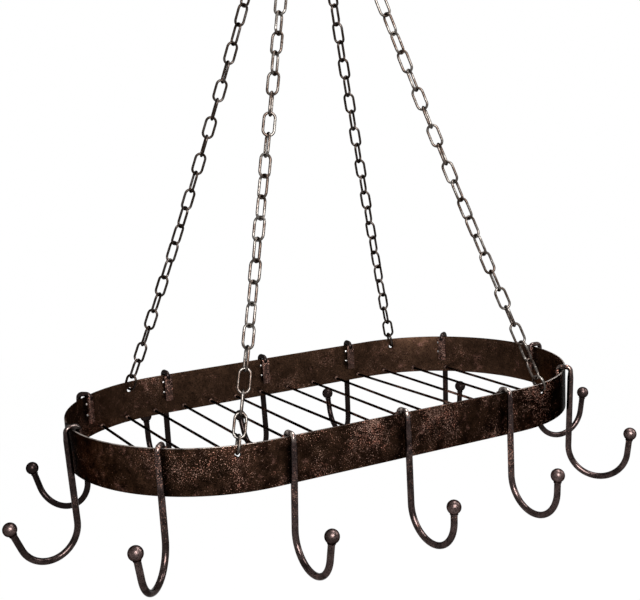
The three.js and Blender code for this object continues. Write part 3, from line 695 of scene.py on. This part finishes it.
class POTRACK_OT_chains(bpy.types.Operator):
    """Bends every chain link and hangs the four chains"""
    bl_idname = "potrack.chains"
    bl_label = "Chains"

    def execute(self, context):
        for row in CHAINS:
            self.one_chain(*row)
        return {"FINISHED"}

    def one_chain(self, corner, side_x, side_y, foot_turn, sag, twist, wave, phase):
        size = sizes()
        # the front chains take the painted lit finish, the back ones the painted shaded one
        steel = [finish("front chain painted lit" if side_y < 0 else "chain")]
        foot_turn, twist, sag = math.radians(foot_turn), math.radians(twist), sag * MM
        apex = Vector((0, 0, RIM_Z + size.apex_height))
        foot_y = oval_half_width(size.hole_x, size.band_wall / 2)
        foot = Vector((side_x * size.hole_x, side_y * foot_y, RIM_Z - foot_drop()))
        along = (apex - foot).normalized()
        # the foot link stands square to the band's wall
        end_x = (size.band_length - size.straight) / 2
        outward = Vector((side_x * (size.hole_x - size.straight / 2) / end_x ** 2,
                          foot.y / (size.band_width / 2) ** 2, 0)).normalized()
        across = Matrix.Rotation(foot_turn, 3, "Z") @ outward
        foot_half = (FOOT_INNER + FOOT_WIRE) / 2
        bm = bmesh.new()
        add_loop(bm, (FOOT_WIDTH - FOOT_WIRE) / 2, foot_half, FOOT_WIRE, 16, 16)
        place = Matrix.Translation(foot + along * foot_half) @ loop_turn(along, across)
        bmesh.ops.transform(bm, matrix=place, verts=bm.verts)
        new_piece("foot_link_" + corner, bm, "rack", "end_link_" + corner, slot="chain_steel",
                  materials=steel)
        # the links fill what lies between the foot link and the triangle link
        half_wire = size.link_wire / 2 * FLAT
        seat = half_wire + SEAT
        low = foot + along * (2 * foot_half - FOOT_WIRE / 2 * FLAT - seat)
        side_angle = math.atan2(size.hole_x, apex.z - foot.z)
        bar_distance = (PEAR_TOP + PEAR_HEIGHT) / (along.z / math.cos(side_angle))
        high = apex + along * (-bar_distance + PEAR_WIRE / 2 + seat)
        reach = (high - low).length
        count = round(reach / size.link_pitch)
        count += 1 - count % 2
        half_length = (reach + (count - 1) * (2 * half_wire - LINK_SHARE)) / (2 * count)
        pitch = 2 * half_length - 2 * half_wire + LINK_SHARE
        half_width = (size.link_width - size.link_wire) / 2
        pattern = bmesh.new()
        add_loop(pattern, half_width, half_length, size.link_wire, 12, 12)
        add_weld(pattern, half_width, size.link_wire)
        mesh = to_mesh("link_pattern", pattern)
        hang = (Vector(DOWN) + along * along.z).normalized()
        start_turn = -side_x * side_y * math.asin(abs(outward.x))
        bm = bmesh.new()
        for i in range(count):
            # every other link is a quarter turn round, and the end ones follow what they hang in
            freedom = min(1.0, i / 2, (count - 1 - i) / 2)
            turn = QUARTER * (i % 2) + freedom * twist * math.sin(wave * i + phase)
            turn += start_turn * (1 - i / (count - 1)) + foot_turn * max(0.0, 1 - i / FOOT_REACH)
            share = (half_length + i * pitch) / reach
            slope = 4 * sag * (1 - 2 * share) / reach
            middle = low + along * share * reach + hang * (4 * sag * share * (1 - share))
            old = set(bm.verts)
            bm.from_mesh(mesh)
            place = (Matrix.Translation(middle) @ loop_turn(along + hang * slope, ALONG_X)
                     @ Matrix.Rotation(turn, 4, "Y"))
            bmesh.ops.transform(bm, matrix=place, verts=[v for v in bm.verts if v not in old])
        bpy.data.meshes.remove(mesh)
        new_piece("links_" + corner, bm, "rack", "chain_" + corner, slot="chain_steel",
                  materials=steel)


class POTRACK_OT_hooks(bpy.types.Operator):
    """Bends the twelve pot hooks over the rim and sets a ball on each tip"""
    bl_idname = "potrack.hooks"
    bl_label = "Pot Hooks"

    def execute(self, context):
        radius = sizes().band_width / 2
        for name, side, place, *bends in SIDE_HOOKS:
            self.one_hook(name, place * HOOK_SPACING, side * radius, side * QUARTER, *bends)
        for name, side, place, *bends in END_HOOKS:
            x, y, facing = oval_place(math.radians(place))
            self.one_hook(name, side * x, y, facing if side > 0 else HALF - facing, *bends)
        return {"FINISHED"}

    def one_hook(self, name, x, y, facing, turn, shank, lean, bend, tip_lean, tip):
        size = sizes()
        lean = math.radians(lean)
        place = (Matrix.Translation((x, y, RIM_Z))
                 @ Matrix.Rotation(facing + math.radians(turn), 4, "Z"))
        bm = bmesh.new()
        bar = Bar(bm, (-ARCH_IN, 0, -ARCH_LEG), UP, ARCH_ROD / 2, size.sides)
        bar.run(SEAT + ARCH_ROD / 2 - ARCH_CORNER + ARCH_LEG)
        bar.bend(ARCH_CORNER, QUARTER, ALONG_Y, 8)
        bar.run(ARCH_OUT + ARCH_IN - 2 * ARCH_CORNER, 2)
        bar.bend(ARCH_CORNER, QUARTER, ALONG_Y, 8)
        bar.bend(SHOULDER, lean, ALONG_Y, 2)
        # the beaten rod of the arch swells to the shank's full thickness
        bar.run(SWELL, SWELL_STEPS, (size.rod / ARCH_ROD) ** (1 / SWELL_STEPS))
        bar.run(size.shank * shank - SWELL - SHOULDER * abs(lean), 10)
        bar.bend(size.bend * bend, -(HALF + lean - math.radians(tip_lean)), ALONG_Y, 36)
        bar.run(size.tip * tip - size.ball / 2 - NECK, 3)
        heading = bar.heading.copy()
        centre = bar.place + heading * (size.ball / 2 + NECK)
        bar.run(NECK + BALL_BORE - SEAT).cap()
        rod_faces = set(bm.faces)
        add_box(bm, TONGUE, (-ARCH_IN, 0, -TONGUE.z / 2), TONGUE_ROUNDING)
        for face in bm.faces:
            face.material_index = 0 if face in rod_faces else 2
        pins = bmesh.new()
        for drop in PIN_DROPS:
            add_pin(pins, PIN_RADIUS, PIN_LENGTH, 18, (-ARCH_IN + PIN_OUT, PIN_SHIFT, -drop))
        round_off(pins, corners(pins), PIN_ROUNDING, 3)
        for face in pins.faces:
            face.material_index = 1
        mesh = to_mesh("pins", pins)
        bm.from_mesh(mesh)
        bpy.data.meshes.remove(mesh)
        bmesh.ops.transform(bm, matrix=place, verts=bm.verts)
        body = "hook_%s_body" % name
        new_piece("pot_hook_" + name, bm, body, "hook_" + name, slot="hook_iron",
                  materials=[finish("hook coat"), finish("pin"), finish("tongue coat")])
        bm = bmesh.new()
        verts = bmesh.ops.create_uvsphere(bm, u_segments=40, v_segments=24,
                                          radius=size.ball / 2)["verts"]
        bmesh.ops.transform(bm, matrix=Matrix.Translation(centre) @ turn_to(heading), verts=verts)
        # the ball ends in a short neck round the rod
        neck = Bar(bm, centre - heading * (size.ball / 2 + COLLAR_LOW), heading,
                   size.rod / 2 * COLLAR_WIDTH, 32)
        neck.run(COLLAR_CONE, 1, COLLAR_FLARE).run(COLLAR_RIM).cap()
        bmesh.ops.transform(bm, matrix=place, verts=bm.verts)
        new_piece("tip_ball_" + name, bm, body, "hook_ball_" + name, slot="ball_iron",
                  materials=[finish("ball coat")])


class POTRACK_OT_fittings(bpy.types.Operator):
    """Makes the ceiling plate with its screws, the ceiling hook, the ring and the triangle links"""
    bl_idname = "potrack.fittings"
    bl_label = "Ceiling Fittings"

    def execute(self, context):
        coat = [finish("fitting coat")]
        apex = Vector((0, 0, RIM_Z + sizes().apex_height))
        self.ceiling_plate(coat)
        self.ceiling_hook(coat)
        bm = bmesh.new()
        ring = Bar(bm, apex + Vector((RING_RADIUS, 0, 0)), UP, RING_WIRE / 2, 20)
        ring.bend(RING_RADIUS, -FULL, ALONG_Y, 72)
        new_piece("round_ring", bm, "ring", "gathering_ring", slot="fitting_iron", materials=coat)
        self.triangle_links(coat, apex)
        return {"FINISHED"}

    def ceiling_plate(self, coat):
        """A turned disc, rounded below, with two dome-headed screws."""
        low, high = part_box("ceiling_plate")
        radius = (high[0] - low[0]) / 2
        middle = (high[2] + low[2]) / 2
        bm = bmesh.new()
        verts = bmesh.ops.create_cone(bm, cap_ends=True, segments=72, radius1=radius,
                                      radius2=radius, depth=high[2] - low[2])["verts"]
        bmesh.ops.translate(bm, verts=verts, vec=(0, 0, middle))
        below = [vert for vert in bm.verts if vert.co.z < middle]
        round_off(bm, edges_between(corners(bm), below), PLATE_ROUNDING, 4)
        new_piece("ceiling_rose", bm, "ceiling_fitting", "ceiling_plate", slot="fitting_iron",
                  materials=coat)
        bm = bmesh.new()
        for side in (-1, 1):
            verts = bmesh.ops.create_uvsphere(bm, u_segments=28, v_segments=16,
                                              radius=SCREW_RADIUS)["verts"]
            bmesh.ops.scale(bm, verts=verts, vec=(1, 1, SCREW_DOME))
            bmesh.ops.translate(bm, verts=verts, vec=(side * SCREW_PLACE, 0, low[2] + SCREW_SINK))
        new_piece("plate_screws", bm, "ceiling_fitting", slot="fitting_iron",
                  materials=[finish("pin")])

    def ceiling_hook(self, coat):
        """One bent wire: down from the plate, aside, and round into an open eye."""
        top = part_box("ceiling_hook")[1][2]
        neck = Vector((0, 0, EYE_NECK))
        out = Vector((0, math.cos(EYE_START), math.sin(EYE_START)))
        first = Vector((0, 0, EYE_CENTRE)) + EYE_BEND * out
        bm = bmesh.new()
        bar = Bar(bm, (0, 0, top), DOWN, EYE_WIRE / 2, 24)
        bar.run((bar.place - neck).length - ELBOW_BEFORE, 2)
        bar.bend(ELBOW_BEND, -(first - neck).angle(DOWN), ALONG_X, 6)
        slant = first - bar.place
        bar.heading = slant.normalized()
        bar.run(slant.length * ELBOW_RUN, 2)
        # the next ring already stands square to the eye
        tangent = Vector(ALONG_X).cross(out)
        turn = bar.heading.rotation_difference(tangent).to_matrix()
        bar.ring, verts = push_out(bm, bar.ring)
        for vert in verts:
            vert.co = first + turn @ (vert.co - bar.place)
        bar.place, bar.heading = first, tangent
        bar.bend(EYE_BEND, EYE_TURN, ALONG_X, 48).cap()
        new_piece("screw_hook", bm, "ceiling_fitting", "ceiling_hook", slot="fitting_iron",
                  materials=coat)

    def triangle_links(self, coat, apex):
        size = sizes()
        side_angle = math.atan2(size.hole_x, size.apex_height + foot_drop())
        for side, name in ((1, "right"), (-1, "left")):
            down = Vector((side * math.sin(side_angle), 0, -math.cos(side_angle)))
            bm = bmesh.new()
            add_loop(bm, PEAR_HALF, PEAR_HEIGHT / 2, PEAR_WIRE, 16, 14, PEAR_SPREAD)
            place = (Matrix.Translation(apex + down * (PEAR_TOP + PEAR_HEIGHT / 2))
                     @ loop_turn(-down, ALONG_Y))
            bmesh.ops.transform(bm, matrix=place, verts=bm.verts)
            new_piece("pear_link_" + name, bm, "rack", "triangle_link_" + name,
                      slot="fitting_iron", materials=coat)


# ---------------------------------------------------------------- studio
# name, place and size in metres, power in watts
LAMPS = (
    ("key_softbox", (-0.6, -2.0, 0.24), (1.2, 1.2), 140),
    ("side_softbox", (1.9, -0.9, 0.1), (0.5, 1.0), 20),
    ("top_softbox", (0.7, -0.2, 1.1), (1.2, 0.8), 50),
)
FLOOR_DROP, FLOOR_HALF = 0.9, 14  # under the rack and out from its middle, in metres
FLOOR_WHITE, FADE_NEAR, FADE_FAR = 0.98, 2.0, 6.0  # a share, and metres from the middle
CAMERA_PLACE = (-0.7888, -1.4404, RIM_Z + 0.414)
# the camera's right, up and back, solved from the photograph
CAMERA_AXES = ((0.874, -0.4838, -0.0454), (0.1214, 0.1269, 0.9845), (-0.4705, -0.8659, 0.1697))
CAMERA_LENS, CAMERA_SENSOR = 60.68, 36  # in mm


class POTRACK_OT_studio(bpy.types.Operator):
    """Sets the pale floor, the soft lamps, the sky and the camera"""
    bl_idname = "potrack.studio"
    bl_label = "Studio"

    def execute(self, context):
        scene = context.scene
        scene.view_settings.view_transform = "Standard"
        self.floor(scene)
        self.sky(scene)
        for name, place, extent, power in LAMPS:
            light = bpy.data.lights.new(name, "AREA")
            light.shape = "RECTANGLE"
            light.size, light.size_y = extent
            light.energy = power
            lamp = bpy.data.objects.new(name, light)
            lamp.location = place
            aim = Vector((0, 0, RIM_Z)) - Vector(place)
            lamp.rotation_euler = aim.to_track_quat("-Z", "Y").to_euler()
            scene.collection.objects.link(lamp)
        self.camera(scene)
        return {"FINISHED"}

    def white_to_eye(self, add):
        """One where the eye or a shine looks, and nothing where light falls."""
        path = add("ShaderNodeLightPath")
        seen = path["Is Camera Ray"]
        for ray in ("Is Glossy Ray", "Is Transmission Ray"):
            seen = add("ShaderNodeMath", {0: seen, 1: path[ray]}, operation="MAXIMUM")[0]
        return seen

    def floor(self, scene):
        """Seamless paper roll, matt white, with a soft grain of 8 mm. It fades into the sky."""
        bm = bmesh.new()
        bmesh.ops.create_grid(bm, x_segments=1, y_segments=1, size=FLOOR_HALF)
        bmesh.ops.translate(bm, verts=bm.verts, vec=(0, 0, CAD_BOX[0][2] - FLOOR_DROP))
        mesh = to_mesh("studio_floor", bm)
        floor = bpy.data.objects.new("studio_floor", mesh)
        scene.collection.objects.link(floor)
        material, add = new_material("seamless_paper")
        place = add("ShaderNodeTexCoord")["Object"]
        fibre = add("ShaderNodeTexNoise", {"Vector": place, "Scale": 1 / (8 * MM), "Detail": 2.0})
        tint = add("ShaderNodeMix", {0: fibre["Fac"], 6: scene.rack_colours.floor[:],
                                     7: srgb("#fafafa")}, data_type="RGBA")[2]
        paper = add("ShaderNodeBsdfDiffuse", {"Roughness": 0.8, "Color": tint})[0]
        glow = add("ShaderNodeEmission", {"Color": WHITE, "Strength": 1.0})[0]
        away = add("ShaderNodeVectorMath", {0: place}, operation="LENGTH")["Value"]
        fade = add("ShaderNodeMapRange", {"Value": away, "From Min": FADE_NEAR,
                                          "From Max": FADE_FAR, "To Min": FLOOR_WHITE})[0]
        share = add("ShaderNodeMath", {0: self.white_to_eye(add), 1: fade},
                    operation="MULTIPLY")[0]
        both = add("ShaderNodeMixShader", {0: share, 1: paper, 2: glow})[0]
        add("ShaderNodeOutputMaterial", {"Surface": both})
        mesh.materials.append(material)

    def sky(self, scene):
        """Even daylight on the object, and plain white to the eye."""
        world = bpy.data.worlds.new("studio_sky")
        scene.world = world
        world.use_nodes = True
        world.node_tree.nodes.clear()
        add = partial(node, world.node_tree)
        dim = add("ShaderNodeBackground", {"Color": (0.95, 0.97, 1.0, 1), "Strength": 0.4})[0]
        white = add("ShaderNodeBackground", {"Color": WHITE, "Strength": 1.0})[0]
        both = add("ShaderNodeMixShader", {0: self.white_to_eye(add), 1: dim, 2: white})[0]
        add("ShaderNodeOutputWorld", {"Surface": both})

    def camera(self, scene):
        """Stands where the photograph was taken from, front left and a little above the rim."""
        data = bpy.data.cameras.new("photo_camera")
        data.sensor_fit = "HORIZONTAL"
        data.sensor_width = CAMERA_SENSOR
        data.lens = CAMERA_LENS
        data.clip_end = 60
        camera = bpy.data.objects.new("photo_camera", data)
        turn = Matrix(CAMERA_AXES).transposed().to_quaternion().normalized().to_matrix().to_4x4()
        camera.matrix_world = Matrix.Translation(CAMERA_PLACE) @ turn
        scene.collection.objects.link(camera)
        scene.camera = camera


class POTRACK_PT_panel(bpy.types.Panel):
    """Lists the rack's sizes, colours and pieces"""
    bl_idname = "POTRACK_PT_panel"
    bl_label = "Pot Rack"
    bl_space_type = "VIEW_3D"
    bl_region_type = "UI"
    bl_category = "Pot Rack"

    def draw(self, context):
        for group in (context.scene.rack_sizes, context.scene.rack_colours):
            box = self.layout.box()
            for key in group.__annotations__:
                box.prop(group, key)
        for operator in OPERATORS:
            self.layout.operator(operator.bl_idname)


OPERATORS = (POTRACK_OT_band, POTRACK_OT_grid, POTRACK_OT_chains, POTRACK_OT_hooks,
             POTRACK_OT_fittings, POTRACK_OT_studio)
CLASSES = (RackSizes, RackColours) + OPERATORS + (POTRACK_PT_panel,)


def register():
    for cls in CLASSES:
        bpy.utils.register_class(cls)
    bpy.types.Scene.rack_sizes = PointerProperty(type=RackSizes)
    bpy.types.Scene.rack_colours = PointerProperty(type=RackColours)


def unregister():
    del bpy.types.Scene.rack_colours
    del bpy.types.Scene.rack_sizes
    for cls in reversed(CLASSES):
        bpy.utils.unregister_class(cls)


def main():
    register()
    bpy.ops.potrack.band()
    bpy.ops.potrack.grid()
    bpy.ops.potrack.chains()
    bpy.ops.potrack.hooks()
    bpy.ops.potrack.fittings()
    bpy.ops.potrack.studio()


if __name__ == "__main__":
    main()
